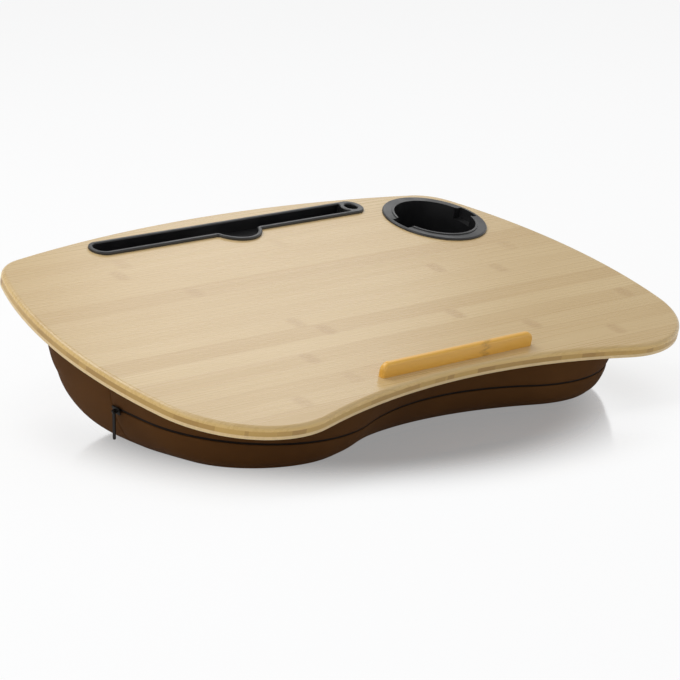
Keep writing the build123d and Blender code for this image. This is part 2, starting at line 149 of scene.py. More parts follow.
class CushionSettings(bpy.types.PropertyGroup):
    width: length("Width", "Across the cushion at the board", 514.0)
    back_reach: length("Back reach", "From the middle to the back at the board", 156.0)
    front_reach: length("Front reach", "From the middle to the hollow at the board", 130.0)
    widest_station: length("Widest station", "How far before the middle the cushion is widest", 40.0)
    side_radius: length("Side radius", "Bow of the sides", 900.0)
    back_radius: length("Back radius", "Bow of the back", 1150.0)
    hollow_radius: length("Hollow radius", "Bow of the front hollow", 219.0)
    back_corner: length("Back corner", "Radius of the back corners", 81.0)
    front_corner: length("Front corner", "Radius of the front corners at the board", 117.0)
    side_tuck: length("Side tuck", "How far the sides are drawn in at the floor", 36.5)
    back_tuck: length("Back tuck", "How far the back is drawn in at the floor", 94.0)
    hollow_tuck: length("Hollow tuck", "How far the hollow is drawn in at the floor", 28.0)
    corner_tuck: length("Corner tuck", "How much tighter the front corners turn at the floor", 47.5)
    zip_share: share("Zip share", "Height of the zip as a share of the cushion's thickness", 0.45)
    seam_station: length("Seam station", "Where the side seams stand behind the middle", 5.0)
    base_seam: length("Base seam", "Height of the seam round the base panel", 3.0)
    cloth_thick: length("Cloth", "Thickness of the cover's cloth", 1.2)
    inset: length("Inset", "How far inside the outline the cloth is sewn", 1.2)
    seam_depth: length("Seam depth", "How far the seams lie under the cloth's face", 0.8)
    swell: length("Swell", "Most that the filling pushes the cloth out", 3.0)
    pressure: FloatProperty(name="Pressure", description="Push of the filling as the cloth swells",
                            default=60.0)
    thread: length("Thread", "From one thread of the weave to the next", 0.55)
    upper_colour: colour("Upper colour", "Cloth in its usual tone", (0.072, 0.030, 0.0095))
    worn_colour: colour("Worn colour", "Cloth where it is stretched and rubbed", (0.115, 0.050, 0.0145))


class ZipSettings(bpy.types.PropertyGroup):
    gap: length("Gap", "Open strip between the two bands of cloth", 1.6)
    depth: length("Depth", "How far the teeth lie under the cloth's face", 0.7)
    pitch: length("Pitch", "From one tooth to the next", 1.3)
    tooth: length("Tooth", "Thickness of one tooth along the zip", 0.75)
    tooth_height: length("Tooth height", "Height of one tooth across the zip", 1.5)
    tooth_deep: length("Tooth depth", "From a tooth's back to its front", 0.8)
    tooth_side: length("Tooth side", "From the zip's line to the middle of each row's teeth", 0.35)
    tooth_lift: length("Tooth lift", "From the tapes' face to the middle of the teeth", 0.25)
    tape: length("Tape", "Width of each tape behind the cloth", 7.0)
    tape_start: length("Tape start", "From the zip's line to each tape's edge", 0.15)
    tape_thick: length("Tape thickness", "Thickness of each tape", 0.4)
    colour: colour("Zip colour", "Tapes and teeth", (0.010, 0.006, 0.004))
    rubbed: colour("Rubbed zip", "Tapes and teeth where they are rubbed", (0.016, 0.010, 0.007))
    paint: colour("Paint", "Slider, pull and stops", (0.007, 0.005, 0.004))
    worn_paint: colour("Worn paint", "Slider, pull and stops where they are handled", (0.014, 0.011, 0.009))


class InsertSettings(bpy.types.PropertyGroup):
    plastic: colour("Plastic", "Slot tray and cup holder", (0.006, 0.006, 0.0065))
    dusty: colour("Dusty plastic", "Slot tray and cup holder where they are paler", (0.010, 0.010, 0.011))
    pocket_radius: length("Pocket radius", "Inside of the cloth pocket round the cup holder", 41.4)
    pocket_depth: length("Pocket depth", "Depth of the pocket below the board's top", 46.0)
    cup_across: length("Cup across", "Cup holder's middle, right of the board's", 210.4)
    cup_station: length("Cup station", "Cup holder's middle, behind the board's", 101.2)


# Tone of each strip of the face, from the front of the board to the back
STRIP_TONES = (0.55, 0.35, 0.62, 0.42, 0.66, 0.40, 0.86, 0.30, 0.80, 0.62,
               0.70, 0.52, 0.24, 0.66, 0.58, 0.72, 0.48, 0.64, 0.56, 0.68)
# Number of the first strip, counted from the joint that strip_edge places
FIRST_STRIP = -10

# Growth rings of the face: millimetres right of the middle and behind it, and strength
FACE_NODES = ((-168, 98, 0.8), (-150, 117, 0.6), (-127, 48, 0.7), (-83, -33, 0.8), (-67, -53, 0.9),
              (-120, -92, 0.9), (70, -70, 1.0), (127, 13, 1.0), (187, -8, 0.8), (123, -112, 0.9),
              (193, -148, 0.9), (-182, -152, 0.8), (-110, -133, 0.6), (265, -92, 0.8), (20, 108, 0.4),
              (236, 30, 0.5))


def settings():
    return bpy.context.scene.lap_tray


def board_place():
    board = settings().board
    return Matrix.Translation((0, 0, board.height)) @ Matrix.Rotation(board.tilt, 4, "X")


class NodeWork:
    """Short ways to add nodes to a material or to the world."""

    def __init__(self, tree):
        self.nodes = tree.nodes
        self.links = tree.links

    def feed(self, socket, value):
        """Gives a socket a number, a colour or another node's output."""
        if isinstance(value, bpy.types.NodeSocket):
            self.links.new(value, socket)
        elif hasattr(value, "__len__") and len(value) == 3 and socket.type == "RGBA":
            socket.default_value = (*value, 1.0)
        else:
            socket.default_value = value

    def add(self, kind, inputs=(), **choices):
        node = self.nodes.new("ShaderNode" + kind)
        for name, value in choices.items():
            setattr(node, name, value)
        for key, value in dict(inputs).items():
            self.feed(node.inputs[key], value)
        return node

    def math(self, operation, first, second=0.0, third=0.0, clamp=False):
        node = self.add("Math", {0: first, 1: second, 2: third}, operation=operation, use_clamp=clamp)
        return node.outputs[0]

    def vector(self, operation, first, second):
        return self.add("VectorMath", {0: first, 1: second}, operation=operation).outputs[0]

    def split(self, vector):
        return self.add("SeparateXYZ", {0: vector}).outputs

    def merge(self, x, y, z):
        return self.add("CombineXYZ", {0: x, 1: y, 2: z}).outputs[0]

    def noise(self, vector, scale, detail=2.0, rough=0.5):
        inputs = {"Vector": vector, "Scale": scale, "Detail": detail, "Roughness": rough}
        return self.add("TexNoise", inputs).outputs["Fac"]

    def stretched(self, vector, factors, *noise):
        """Noise on the vector scaled by one factor for each axis."""
        return self.noise(self.vector("MULTIPLY", vector, factors), *noise)

    def total(self, *terms):
        """The sum of outputs, each times its weight, held between 0 and 1."""
        whole = 0.0
        for output, weight in terms:
            whole = self.math("MULTIPLY_ADD", output, weight, whole, clamp=True)
        return whole

    def level(self, value, low, high, out_low=0.0, out_high=1.0):
        """The value taken from one range to another, held at the ends."""
        node = self.add("MapRange", {0: value, 1: low, 2: high, 3: out_low, 4: out_high},
                        interpolation_type="SMOOTHSTEP")
        return node.outputs[0]

    def mix(self, factor, first, second):
        node = self.add("Mix", data_type="RGBA")
        self.feed(node.inputs[0], factor)
        self.feed(node.inputs[6], first)
        self.feed(node.inputs[7], second)
        return node.outputs[2]

    def steps(self, factor, tones):
        """One grey tone after the other, in even steps from 0 to 1."""
        node = self.add("ValToRGB", {0: factor})
        node.color_ramp.interpolation = "CONSTANT"
        elements = node.color_ramp.elements
        while len(elements) < len(tones):
            elements.new(0.5)
        for index, (element, tone) in enumerate(zip(elements, tones)):
            element.position = index / len(tones)
            element.color = (tone, tone, tone, 1.0)
        return node.outputs[0]

    def blend(self, factor, first, second):
        """Two shaders in one, the second with this share."""
        return self.add("MixShader", {0: factor, 1: first.outputs[0], 2: second.outputs[0]})

    def place(self):
        return self.add("TexCoord").outputs["Object"]

    def seen_rays(self):
        """One where a ray comes from the camera, or from gloss or glass."""
        path = self.add("LightPath").outputs
        either = self.math("MAXIMUM", path["Is Camera Ray"], path["Is Glossy Ray"])
        return self.math("MAXIMUM", either, path["Is Transmission Ray"])


class Finish(NodeWork):
    """A material with one principled shader."""

    def __init__(self, name, rough, specular=0.5):
        self.material = bpy.data.materials.new(name)
        self.material.use_nodes = True
        super().__init__(self.material.node_tree)
        self.shader = self.nodes["Principled BSDF"]
        self.set("Roughness", rough)
        self.set("Specular IOR Level", specular)

    def set(self, name, value):
        self.feed(self.shader.inputs[name], value)

    def tint(self, factor, first, second):
        self.set("Base Color", self.mix(factor, first, second))

    def board_place(self):
        """The place in the board's own frame, level with its top."""
        board = settings().board
        low = self.vector("SUBTRACT", self.place(), (0.0, 0.0, board.height))
        turned = self.add("VectorRotate", {"Vector": low, "Angle": -board.tilt}, rotation_type="X_AXIS")
        return turned.outputs[0]

    def bump(self, height, distance, strength=1.0):
        node = self.add("Bump", {"Height": height, "Distance": distance, "Strength": strength})
        self.set("Normal", node.outputs[0])


def dress(names, material):
    """Gives CAD nodes a finish in all their material slots."""
    for name in names:
        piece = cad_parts[name]
        piece.data.materials.clear()
        piece.data.materials.append(material)


def add_object(name, data):
    thing = bpy.data.objects.new(name, data)
    bpy.context.scene.collection.objects.link(thing)
    return thing


def point_at(thing, ahead):
    """Turns a camera or a lamp to look ahead."""
    thing.rotation_mode = "QUATERNION"
    thing.rotation_quaternion = ahead.to_track_quat("-Z", "Y")


def new_piece(name, points, faces, material, body=TRAY, smooth=True):
    mesh = bpy.data.meshes.new(name)
    mesh.from_pydata([tuple(point) for point in points], [], [tuple(face) for face in faces])
    mesh.update()
    piece = add_object(name, mesh)
    mesh.materials.append(material)
    if smooth:
        mesh.shade_smooth()
    if body:
        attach(piece, body)
    return piece


def apply_modifiers(piece):
    """Turns the piece's modifiers into its own mesh."""
    graph = bpy.context.evaluated_depsgraph_get()
    mesh = bpy.data.meshes.new_from_object(piece.evaluated_get(graph))
    old = piece.data
    piece.modifiers.clear()
    piece.data = mesh
    bpy.data.meshes.remove(old)


def thicken(piece, thick):
    """Gives a sheet its thickness, inwards from its face."""
    solid = piece.modifiers.new("Thickness", "SOLIDIFY")
    solid.thickness = thick
    solid.offset = -1.0
    apply_modifiers(piece)


def spaced(path, over, pitch):
    """Evenly spaced places along the path, each with its directions along and up."""
    spots, left = [], pitch
    for start, end, high in zip(path, path[1:], over):
        run = (end - start).length
        along = (end - start).normalized()
        up = (high - start).normalized()
        up = (up - along * up.dot(along)).normalized()
        while left < run:
            spots.append((start + along * left, along, up))
            left += pitch
        left -= run
    return spots


# Corners of a tooth seen from the front, in shares of half its length and half its height
TOOTH_RIM_SHARES = ((1.0, 0.0), (0.6, 1.0), (-0.6, 1.0), (-1.0, 0.0), (-0.6, -1.0), (0.6, -1.0))
# Its sections from the back to the front: share of half its depth, and share of its full width
TOOTH_SECTION_SHARES = ((-1.0, 1.0), (0.3, 1.0), (1.0, 0.55))


def tooth_at(points, faces, place, along, up, out, sizes):
    """Adds one rounded bar: a six-sided band with a smaller face at the front."""
    half_along, half_up, half_out = (size / 2 for size in sizes)
    rim = [(half_along * a, half_up * b) for a, b in TOOTH_RIM_SHARES]
    corners = len(rim)
    start = len(points)
    for deep, grow in TOOTH_SECTION_SHARES:
        points.extend(place + along * (a * grow) + up * (b * grow) + out * (half_out * deep) for a, b in rim)
    for ring in (start, start + corners):
        for index in range(corners):
            after = (index + 1) % corners
            faces.append((ring + index, ring + after, ring + corners + after, ring + corners + index))
    faces.append(tuple(start + 2 * corners + index for index in range(corners)))
    faces.append(tuple(start + index for index in reversed(range(corners))))


# Outline of the cushion

def crossings(centre_a, reach_a, centre_b, reach_b):
    """The two points at reach_a from centre_a and at reach_b from centre_b."""
    gap = centre_b - centre_a
    along = (gap.length_squared + reach_a**2 - reach_b**2) / (2 * gap.length)
    aside = math.sqrt(reach_a**2 - along**2)
    ahead = gap.normalized()
    left = Vector((-ahead.y, ahead.x))
    return centre_a + ahead * along + left * aside, centre_a + ahead * along - left * aside


def arc_points(centre, start, end, steps):
    """Points from start to end about centre, without the last one."""
    first, last = start - centre, end - centre
    turn = first.angle_signed(last)
    spin = [Matrix.Rotation(-turn * step / steps, 2) for step in range(steps)]
    return [centre + matrix @ first for matrix in spin]


# Columns of the cushion's mesh: from the back's middle to the side seam, and on to the hollow's middle
SEAM_COLUMN = 62
HALF_COLUMNS = 134
COLUMNS = 2 * HALF_COLUMNS
# Steps of each arc of the outline that the columns are spaced along
FINE_STEPS = 60


def half_outline(tuck, inset, seam):
    """The right half of one section, from the middle of the back to the middle of the hollow.

    The points are evenly spaced on both sides of the side seam, which stands at the station given.
    """
    shape = settings().cushion
    side_in = shape.side_tuck * tuck + inset
    back_in = shape.back_tuck * tuck + inset
    hollow_in = shape.hollow_tuck * tuck + inset
    side_r = shape.side_radius - side_in
    back_r = shape.back_radius - back_in
    hollow_r = shape.hollow_radius + hollow_in
    back_corner = shape.back_corner - inset
    front_corner = shape.front_corner - shape.corner_tuck * tuck - inset
    back_centre = Vector((0, shape.back_reach - back_in - back_r))
    side_centre = Vector((shape.width / 2 - side_in - side_r, -shape.widest_station))
    hollow_centre = Vector((0, hollow_in - shape.front_reach - hollow_r))
    back_turn = max(crossings(back_centre, back_r - back_corner, side_centre, side_r - back_corner),
                    key=lambda point: point.y)
    front_turn = max(crossings(hollow_centre, hollow_r + front_corner, side_centre, side_r - front_corner),
                     key=lambda point: point.x)
    on_back = back_centre + (back_turn - back_centre).normalized() * back_r
    side_back = side_centre + (back_turn - side_centre).normalized() * side_r
    side_front = side_centre + (front_turn - side_centre).normalized() * side_r
    on_hollow = hollow_centre + (front_turn - hollow_centre).normalized() * hollow_r
    arcs = ((back_centre, back_centre + Vector((0, back_r)), on_back), (back_turn, on_back, side_back),
            (side_centre, side_back, side_front), (front_turn, side_front, on_hollow),
            (hollow_centre, on_hollow, hollow_centre + Vector((0, hollow_r))))
    line = np.array([point for arc in arcs for point in arc_points(*arc, FINE_STEPS)] + [arcs[-1][2]])
    run = np.concatenate([[0.0], np.cumsum(np.linalg.norm(np.diff(line, axis=0), axis=1))])
    after = int(np.argmax(line[:, 1] < seam))
    part = (line[after - 1, 1] - seam) / (line[after - 1, 1] - line[after, 1])
    at_seam = run[after - 1] + part * (run[after] - run[after - 1])
    spots = np.concatenate([np.linspace(0.0, at_seam, SEAM_COLUMN, endpoint=False),
                            np.linspace(at_seam, run[-1], HALF_COLUMNS - SEAM_COLUMN + 1)])
    return np.stack([np.interp(spots, run, line[:, axis]) for axis in (0, 1)], axis=1)


# Share of the tucks left at each share of the height
HEIGHT_SHARES = (0.0, 0.06, 0.14, 0.25, 0.45, 0.70, 1.0)
TUCK_SHARES = (1.0, 0.76, 0.53, 0.35, 0.16, 0.03, 0.0)


def tuck_at(height):
    """The share of the tucks at a share of the height, on a smooth curve through the table."""
    slopes = np.gradient(TUCK_SHARES, HEIGHT_SHARES)
    index = min(max(int(np.searchsorted(HEIGHT_SHARES, height)) - 1, 0), len(HEIGHT_SHARES) - 2)
    low, high = HEIGHT_SHARES[index], HEIGHT_SHARES[index + 1]
    span = high - low
    t = min(max((height - low) / span, 0.0), 1.0)
    a, b = TUCK_SHARES[index], TUCK_SHARES[index + 1]
    return ((2 * t**3 - 3 * t**2 + 1) * a + (t**3 - 2 * t**2 + t) * span * slopes[index]
            + (3 * t**2 - 2 * t**3) * b + (t**3 - t**2) * span * slopes[index + 1])


def fan_line():
    """How far the cushion's sections reach from the line where they all meet, and its station."""
    board = settings().board
    underside = board_place() @ Vector((0, 0, -board.thickness))
    reach = underside.z / math.sin(board.tilt)
    return reach, underside.y - reach * math.cos(board.tilt)


# Sections that are worked out between the floor and the board
LEVELS = 61


class CushionForm:
    """The cushion's outer shape, drawn in all round by an inset."""

    def __init__(self, inset):
        self.inset = inset
        self.reach, self.station = fan_line()
        self.slope = math.tan(settings().board.tilt)
        self.table = np.array([self.section(level / (LEVELS - 1)) for level in range(LEVELS)])

    def section(self, height, inset=None):
        """One section's outline, clockwise from above, from the back's middle."""
        lean = math.atan(height * self.slope)
        seam = (settings().cushion.seam_station - self.station) / math.cos(lean) - self.reach
        half = half_outline(tuck_at(height), self.inset if inset is None else inset, seam)
        return np.concatenate([half, half[-2:0:-1] * (-1.0, 1.0)])

    def on_fan(self, outline, heights):
        """Points of sections, put in their place in the row frame."""
        lean = np.arctan(np.asarray(heights) * self.slope)
        run = self.reach + outline[:, 1]
        return np.stack([outline[:, 0], self.station + run * np.cos(lean), run * np.sin(lean)], axis=1)

    def row(self, heights, columns=None):
        """One point for each column at its share of the height."""
        columns = np.arange(COLUMNS) if columns is None else columns
        place = np.clip(np.asarray(heights, float), 0.0, 1.0) * (LEVELS - 1)
        low = np.minimum(place.astype(int), LEVELS - 2)
        part = (place - low)[:, None]
        outline = self.table[low, columns] * (1.0 - part) + self.table[low + 1, columns] * part
        return self.on_fan(outline, heights)

    def ring(self, height, inset):
        outline = self.section(height, self.inset + inset)
        return self.on_fan(outline, np.full(len(outline), height))

    def rise(self, heights, metres):
        """The share of the height that this many metres make at each column."""
        points = self.row(heights)
        return metres / (self.slope * (points[:, 1] - self.station))


# Panels of the cushion's skin; bed is the strip behind the zip, and lid the face under the board
UPPER, LOWER, BACK, BASE, BED, LID = range(6)
# Rows of the lower and the upper band, and the rows that the zip and the board's underside hold
LOWER_ROWS, UPPER_ROWS = 9, 12
LOW_EDGE = LOWER_ROWS + 1
ZIP_ROWS = (LOW_EDGE, LOW_EDGE + 1, LOW_EDGE + 2)
TOP_ROW = LOWER_ROWS + UPPER_ROWS + 3
# Rings over the base panel and under the board, in millimetres inside the outline
BASE_RINGS = (4, 10, 20, 32, 46)
HEM_RINGS = (4, 9, 14)
SEAMS = [SEAM_COLUMN, COLUMNS - SEAM_COLUMN]
FRONT = np.arange(SEAMS[0], SEAMS[1] + 1)


def band(low, high):
    """Quads between two rings of points, facing out."""
    after = [(column + 1) % COLUMNS for column in range(COLUMNS)]
    return [(low + after[column], low + column, high + column, high + after[column])
            for column in range(COLUMNS)]


def skin_rows(form):
    """Each row's share of the height at every column, from the floor to the board."""
    shape, zip_shape = settings().cushion, settings().zip
    at_zip = np.full(COLUMNS, shape.zip_share)
    gap = form.rise(at_zip, zip_shape.gap / 2)
    base = form.rise(np.zeros(COLUMNS), shape.base_seam)
    lower = [base + (at_zip - gap - base) * step / LOWER_ROWS for step in range(LOWER_ROWS + 1)]
    upper = [at_zip + gap + (1.0 - at_zip - gap) * step / UPPER_ROWS for step in range(UPPER_ROWS + 1)]
    return [np.zeros(COLUMNS), *lower, at_zip, *upper]


def skin_points():
    """Points of the whole skin: its rows, then the rings under the board, then those over the base."""
    shape = settings().cushion
    form, sunk = CushionForm(shape.inset), CushionForm(shape.inset + shape.seam_depth)
    rows = skin_rows(form)
    rings = [form.row(row) for row in rows]
    for index in (1, *ZIP_ROWS):
        rings[index] = sunk.row(rows[index])
    for index in range(1, TOP_ROW):
        rings[index][SEAMS] = sunk.row(rows[index])[SEAMS]
    rings += [form.ring(1.0, inset * MM) for inset in HEM_RINGS]
    rings += [form.ring(0.0, inset * MM) for inset in BASE_RINGS]
    return np.concatenate(rings)


def row_panel(row, front):
    """The panel of a face between this row and the next."""
    if row == 0:
        return BASE
    if not front:
        return BACK
    if row < LOW_EDGE:
        return LOWER
    return BED if row < ZIP_ROWS[-1] else UPPER


def skin_faces():
    """Faces round the cushion, over its base and under the board, and each one's panel."""
    faces, panels = [], []
    is_front = [SEAMS[0] <= column < SEAMS[1] for column in range(COLUMNS)]
    last = TOP_ROW + len(HEM_RINGS)
    for row in range(last):
        faces += band(row * COLUMNS, (row + 1) * COLUMNS)
        panels += [row_panel(row, front) for front in is_front]
    starts = [0] + [(last + 1 + ring) * COLUMNS for ring in range(len(BASE_RINGS))]
    for outer, inner in zip(starts, starts[1:]):
        faces += band(inner, outer)
        panels += [BASE] * COLUMNS
    faces.append(tuple(last * COLUMNS + column for column in reversed(range(COLUMNS))))
    faces.append(tuple(starts[-1] + column for column in range(COLUMNS)))
    return faces, panels + [LID, BASE]


def held_points(count):
    """Numbers of the points that the seams, the board and the floor hold."""
    held = np.zeros(count, bool)
    held[:2 * COLUMNS] = True
    held[TOP_ROW * COLUMNS:] = True
    for row in ZIP_ROWS:
        held[row * COLUMNS + FRONT] = True
    for row in range(TOP_ROW):
        held[[row * COLUMNS + seam for seam in SEAMS]] = True
    return np.flatnonzero(held)


def split_wide_faces(piece):
    """Cuts the lid and the middle of the base, each one face with many corners, into triangles."""
    shell = bmesh.new()
    shell.from_mesh(piece.data)
    bmesh.ops.triangulate(shell, faces=[face for face in shell.faces if len(face.verts) > 4])
    bmesh.ops.recalc_face_normals(shell, faces=shell.faces)
    shell.to_mesh(piece.data)
    shell.free()


# Frames that the cloth takes to come to rest
SWELL_FRAMES = 20


def swell(piece, held):
    """Lets the filling push the cloth out between the seams, and keeps the result in the mesh."""
    shape = settings().cushion
    start = np.array([vertex.co for vertex in piece.data.vertices])
    group = piece.vertex_groups.new(name="held")
    group.add([int(index) for index in held], 1.0, "REPLACE")
    cloth = piece.modifiers.new("Swell", "CLOTH")
    cloth.settings.quality = 4
    cloth.settings.vertex_group_mass = group.name
    cloth.settings.use_pressure = True
    cloth.settings.uniform_pressure_force = shape.pressure
    cloth.settings.effector_weights.gravity = 0.0
    cloth.point_cache.frame_start = 1
    cloth.point_cache.frame_end = SWELL_FRAMES
    scene = bpy.context.scene
    for number in range(1, SWELL_FRAMES + 1):
        scene.frame_set(number)
    graph = bpy.context.evaluated_depsgraph_get()
    swollen = np.array([vertex.co for vertex in piece.evaluated_get(graph).data.vertices])
    piece.modifiers.remove(cloth)
    piece.vertex_groups.clear()
    scene.frame_set(1)
    move = swollen - start
    size = np.linalg.norm(move, axis=1, keepdims=True)
    move *= np.minimum(1.0, shape.swell / np.maximum(size, 1e-9))
    piece.data.vertices.foreach_set("co", (start + move).ravel())
    piece.data.update()


def panel_piece(skin, name, panel, material, thick):
    """One sewn panel of the cover, cut out of the skin and given the cloth's thickness."""
    shell = bmesh.new()
    shell.from_mesh(skin.data)
    bmesh.ops.delete(shell, geom=[face for face in shell.faces if face.material_index != panel],
                     context="FACES")
    mesh = bpy.data.meshes.new(name)
    shell.to_mesh(mesh)
    shell.free()
    mesh.materials.clear()
    mesh.materials.append(material)
    mesh.polygons.foreach_set("material_index", [0] * len(mesh.polygons))
    mesh.polygons.foreach_set("use_smooth", [True] * len(mesh.polygons))
    piece = add_object(name, mesh)
    thicken(piece, thick)
    for vertex in piece.data.vertices:
        vertex.co.z = max(vertex.co.z, 0.0)
    return piece


def cutter(name, radius, depth):
    """A round bar along the cup holder's axis, from above the board's underside down to this depth."""
    insert, board = settings().insert, settings().board
    steps, overrun = 96, 10 * MM
    centre = Vector((insert.cup_across, insert.cup_station, 0))
    turns = [math.tau * step / steps for step in range(steps)]
    ring = [centre + Vector((math.cos(turn), math.sin(turn), 0)) * radius for turn in turns]
    levels = (-depth, -board.thickness + overrun)
    place = board_place()
    points = [place @ (corner + Vector((0, 0, level))) for level in levels for corner in ring]
    faces = [(step, (step + 1) % steps, steps + (step + 1) % steps, steps + step) for step in range(steps)]
    faces += [tuple(reversed(range(steps))), tuple(range(steps, 2 * steps))]
    mesh = bpy.data.meshes.new(name)
    mesh.from_pydata(points, [], faces)
    return add_object(name, mesh)


def carve(piece, tool, operation):
    modifier = piece.modifiers.new("Carve", "BOOLEAN")
    modifier.operation = operation
    modifier.solver = "MANIFOLD"
    modifier.object = tool
    apply_modifiers(piece)


def remove(piece):
    mesh = piece.data
    bpy.data.objects.remove(piece)
    bpy.data.meshes.remove(mesh)


# Finishes

def growth_rings(finish, across, station):
    """How strongly each place of the face shows one of its growth rings."""
    board = settings().board
    rings = 0.0
    for x, y, strength in FACE_NODES:
        reach = finish.math("DIVIDE", finish.math("SUBTRACT", across, x * MM), board.node_across)
        aside = finish.math("DIVIDE", finish.math("SUBTRACT", station, y * MM), board.node_deep)
        aside = finish.math("POWER", finish.math("ABSOLUTE", aside), 4.0)
        far = finish.math("MULTIPLY_ADD", reach, reach, aside)
        rings = finish.math("MAXIMUM", rings, finish.level(far, 0.0, 1.1, strength, 0.0))
    return rings


def bamboo_face():
    """Lacquered strips of bamboo with their fibres, joints and growth rings."""
    board = settings().board
    finish = Finish("bamboo_face", 0.3)
    place = finish.board_place()
    across, station, up = finish.split(place)
    wave = finish.stretched(place, (1.5, 4.0, 1.0), 3.0, 1.0)
    drift = finish.level(wave, 0.3, 0.7, -0.6 * MM, 0.6 * MM)
    front = board.strip_edge + FIRST_STRIP * board.strip_width
    line = finish.math("SUBTRACT", finish.math("ADD", station, drift), front)
    line = finish.math("DIVIDE", line, board.strip_width)
    part = finish.math("FRACT", line)
    edge = finish.math("MINIMUM", part, finish.math("SUBTRACT", 1.0, part))
    joint = finish.level(edge, 0.0, 0.03, 1.0, 0.0)
    shift = finish.math("MULTIPLY", finish.math("FLOOR", line), 0.37)
    shifted = finish.vector("ADD", place, finish.merge(shift, 0.0, 0.0))
    streaks = finish.stretched(shifted, (0.7, 110.0, 60.0), 4.0, 4.0, 0.55)
    fibres = finish.stretched(shifted, (9.0, 1700.0, 600.0), 1.0, 3.0, 0.6)
    cloud = finish.stretched(shifted, (2.0, 7.0, 4.0), 3.0, 3.0)
    strips = finish.steps(finish.math("DIVIDE", line, float(len(STRIP_TONES))), STRIP_TONES)
    strips = finish.math("MULTIPLY_ADD", strips, 0.85, -0.125)
    tone = finish.total((strips, 1.0), (finish.level(streaks, 0.25, 0.75), 0.20),
                        (finish.level(cloud, 0.3, 0.7), 0.16), (fibres, 0.10))
    wood = finish.mix(tone, board.deep, board.pale)
    wood = finish.mix(finish.math("MULTIPLY", joint, 0.16), wood, board.node_colour)
    grain = finish.stretched(shifted, (260.0, 900.0, 300.0), 1.0, 4.0, 0.7)
    knots = finish.math("MULTIPLY", growth_rings(finish, across, station),
                        finish.level(grain, 0.35, 0.65, 0.15, 0.75))
    wood = finish.mix(finish.math("MULTIPLY", knots, 0.85), wood, board.node_colour)
    # painted shade: below the top, the rounded edge is tinted towards a deeper golden, standing for its look
    # where it turns sideways from the light
    edge_shade = finish.level(up, -board.edge_full, -board.edge_start, 0.7, 0.0)
    finish.tint(edge_shade, wood, board.edge_shade_colour)
    finish.set("Roughness", finish.level(streaks, 0.2, 0.8, 0.24, 0.32))
    finish.bump(finish.math("SUBTRACT", fibres, finish.math("MULTIPLY", joint, 0.6)), 0.01 * MM, 0.2)
    return finish.material


def bamboo_core():
    """Cross strips that show their ends round the edge, in blocks of different tone."""
    board = settings().board
    finish = Finish("bamboo_core", 0.42)
    place = finish.board_place()
    flat = finish.vector("MULTIPLY", place, (1.0, 1.0, 0.0))
    blocks = finish.add("TexVoronoi", {"Vector": flat, "Scale": 42.0})
    pick = finish.split(blocks.outputs["Color"])[0]
    grain = finish.stretched(place, (900.0, 900.0, 2500.0), 1.0, 3.0, 0.7)
    tone = finish.total((pick, 0.7), (grain, 0.4))
    finish.tint(tone, board.end_grain, board.end_pale)
    finish.bump(grain, 0.03 * MM, 0.5)
    return finish.material


def lighter(tone, times):
    return tuple(min(1.0, part * times) for part in tone)


def bamboo_under():
    """The bottom ply, in the tone of the face but plainer."""
    board = settings().board
    finish = Finish("bamboo_under", 0.4)
    streaks = finish.stretched(finish.board_place(), (3.0, 160.0, 60.0), 4.0, 5.0, 0.6)
    tone = finish.level(streaks, 0.25, 0.75)
    finish.tint(tone, board.pale, lighter(board.pale, 1.15))
    finish.bump(streaks, 0.03 * MM, 0.4)
    return finish.material


def bamboo_ledge():
    """Golden bamboo with long fibres and one growth ring."""
    board = settings().board
    finish = Finish("bamboo_ledge", 0.3)
    place = finish.board_place()
    across = finish.split(place)["X"]
    fibres = finish.stretched(place, (12.0, 700.0, 900.0), 1.0, 5.0, 0.65)
    bands = finish.stretched(place, (3.0, 60.0, 110.0), 2.0, 3.0)
    tone = finish.total((fibres, 0.5), (bands, 0.6))
    wood = finish.mix(tone, board.ledge_colour, lighter(board.ledge_colour, 1.2))
    wander = finish.stretched(place, (0.0, 90.0, 160.0), 1.0, 2.0)
    wander = finish.level(wander, 0.3, 0.7, -4.0 * MM, 4.0 * MM)
    off = finish.math("SUBTRACT", finish.math("ADD", across, wander), board.ledge_node)
    ring = finish.level(finish.math("ABSOLUTE", off), 0.0, 7.0 * MM, 1.0, 0.0)
    speck = finish.stretched(place, (300.0, 700.0, 700.0), 1.0, 3.0, 0.7)
    ring = finish.math("MULTIPLY", ring, finish.level(speck, 0.35, 0.6, 0.3, 0.9))
    wood = finish.mix(finish.math("MULTIPLY", ring, 0.55), wood, board.ledge_ring_colour)
    finish.set("Base Color", wood)
    finish.bump(fibres, 0.04 * MM, 0.5)
    return finish.material


def moulded_plastic():
    """Black plastic with a fine moulded grain."""
    insert = settings().insert
    finish = Finish("moulded_plastic", 0.38, 0.7)
    place = finish.place()
    cloud = finish.noise(place, 40.0, 3.0)
    finish.tint(cloud, insert.plastic, insert.dusty)
    finish.set("Roughness", finish.level(cloud, 0.3, 0.7, 0.33, 0.44))
    finish.bump(finish.noise(place, 2600.0, 2.0, 0.6), 0.03 * MM, 0.5)
    return finish.material


